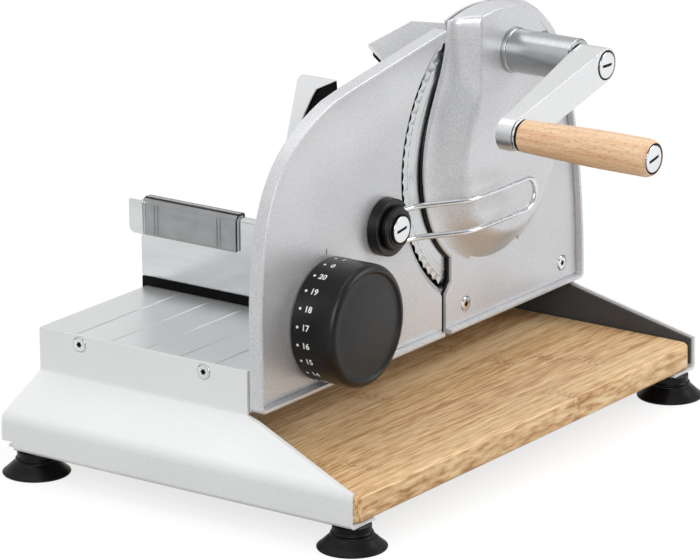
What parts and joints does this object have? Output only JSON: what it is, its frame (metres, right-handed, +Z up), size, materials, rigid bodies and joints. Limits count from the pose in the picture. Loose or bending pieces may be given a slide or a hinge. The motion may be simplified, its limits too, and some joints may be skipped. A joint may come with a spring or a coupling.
{
  "type": "hand crank meat slicer",
  "caption": "Table slicer with a geared hand crank, round wavy blade, stop plate set by a dial, sliding carriage and food holder on a wooden base board.",
  "frame": {"origin": "on the floor under the feet, in the middle of the whole part's footprint", "axes": "+X from the left bracket to the right one, +Y from the crank side to the carriage side, +Z up"},
  "size_m": [0.359, 0.3272, 0.243],
  "materials": {
    "silver_paint": "fine silver-white paint",
    "cast_silver": "satin silver paint",
    "satin_metal": "satin",
    "chrome": "polished",
    "steel": "machined",
    "black_plastic": "fine matte",
    "rubber": "smooth",
    "liner": "matte",
    "bamboo": "laminated strips, oiled",
    "beech": "clear lacquer",
    "smoked": "smoky clear",
    "gear_plastic": "moulded"
  },
  "bodies": {
    "base": {"left_bracket": "silver_paint", "right_bracket": "silver_paint", "side_liner": "liner", "base_board": "bamboo", "table_plate": "satin_metal", "guide_bush_left": "black_plastic", "guide_bush_right": "black_plastic", "dial_follower": "steel", "housing_shell": "cast_silver", "housing_back": "black_plastic", "rear_plate": "cast_silver", "housing_screw_left": "chrome", "housing_screw_right": "chrome", "blade_axle": "steel", "crank_sleeve": "satin_metal", "foot_front_left": "rubber", "foot_rear_left": "rubber", "foot_front_right": "rubber", "foot_rear_right": "rubber", "foot_screw_front_left": "steel", "foot_screw_rear_left": "steel", "foot_screw_front_right": "steel", "foot_screw_rear_right": "steel", "table_screw_front_left": "chrome", "table_screw_front_right": "chrome", "table_screw_rear_left": "chrome", "table_screw_rear_right": "chrome"},
    "stop": {"stop_plate": "cast_silver", "guide_rod_left": "steel", "guide_rod_right": "steel", "dial_pivot": "steel", "deflector_seat": "black_plastic", "deflector_screw": "chrome"},
    "dial_knob": {"dial": "black_plastic", "dial_cam": "gear_plastic"},
    "deflector": {"deflector_wire": "chrome", "deflector_cap": "black_plastic"},
    "crank": {"crank_shaft": "steel", "drive_gear": "steel", "crank_arm": "silver_paint", "crank_cap": "chrome", "handle_axle": "chrome", "handle_cap": "chrome"},
    "handle": {"handle_grip": "beech"},
    "blade_unit": {"blade": "chrome", "blade_gear": "gear_plastic", "blade_screw": "black_plastic"},
    "carriage": {"carriage_plate": "satin_metal", "carriage_slider": "black_plastic", "thumb_guard": "smoked"},
    "holder": {"food_holder_core": "black_plastic", "food_holder_shell": "cast_silver"}
  },
  "joints": [
    {"name": "dial_turn", "type": "hinge", "parent": "stop", "child": "dial_knob", "pos_m": [-0.07695, -0.0144, 0.0948], "axis": [0, -1, 0], "range_deg": [0, 342.86]},
    {"name": "stop_plate_slide", "type": "slide", "parent": "base", "child": "stop", "axis": [0, -1, 0], "range_m": [0, 0.02]},
    {"name": "deflector_swing", "type": "hinge", "parent": "stop", "child": "deflector", "pos_m": [-0.01895, -0.0064, 0.1338], "axis": [0, -1, 0], "range_deg": [0, 90]},
    {"name": "crank_turn", "type": "hinge", "parent": "base", "child": "crank", "pos_m": [0.08945, -0.0384, 0.21545], "axis": [0, -1, 0], "continuous": true},
    {"name": "handle_spin", "type": "hinge", "parent": "crank", "child": "handle", "pos_m": [0.00205, -0.1204, 0.19398], "axis": [0, -1, 0], "continuous": true},
    {"name": "blade_spin", "type": "hinge", "parent": "base", "child": "blade_unit", "pos_m": [0.08945, 0.0016, 0.1532], "axis": [0, -1, 0], "continuous": true},
    {"name": "carriage_slide", "type": "slide", "parent": "base", "child": "carriage", "axis": [1, 0, 0], "range_m": [-0.09, 0.095]},
    {"name": "food_holder_slide", "type": "slide", "parent": "carriage", "child": "holder", "axis": [0, 1, 0], "range_m": [-0.006, 0.075]}
  ],
  "couplings": [
    {"joint": "dial_turn", "follows": "stop_plate_slide", "rad_per_m": 299.2},
    {"joint": "blade_spin", "follows": "crank_turn", "ratio": -0.53704}
  ]
}
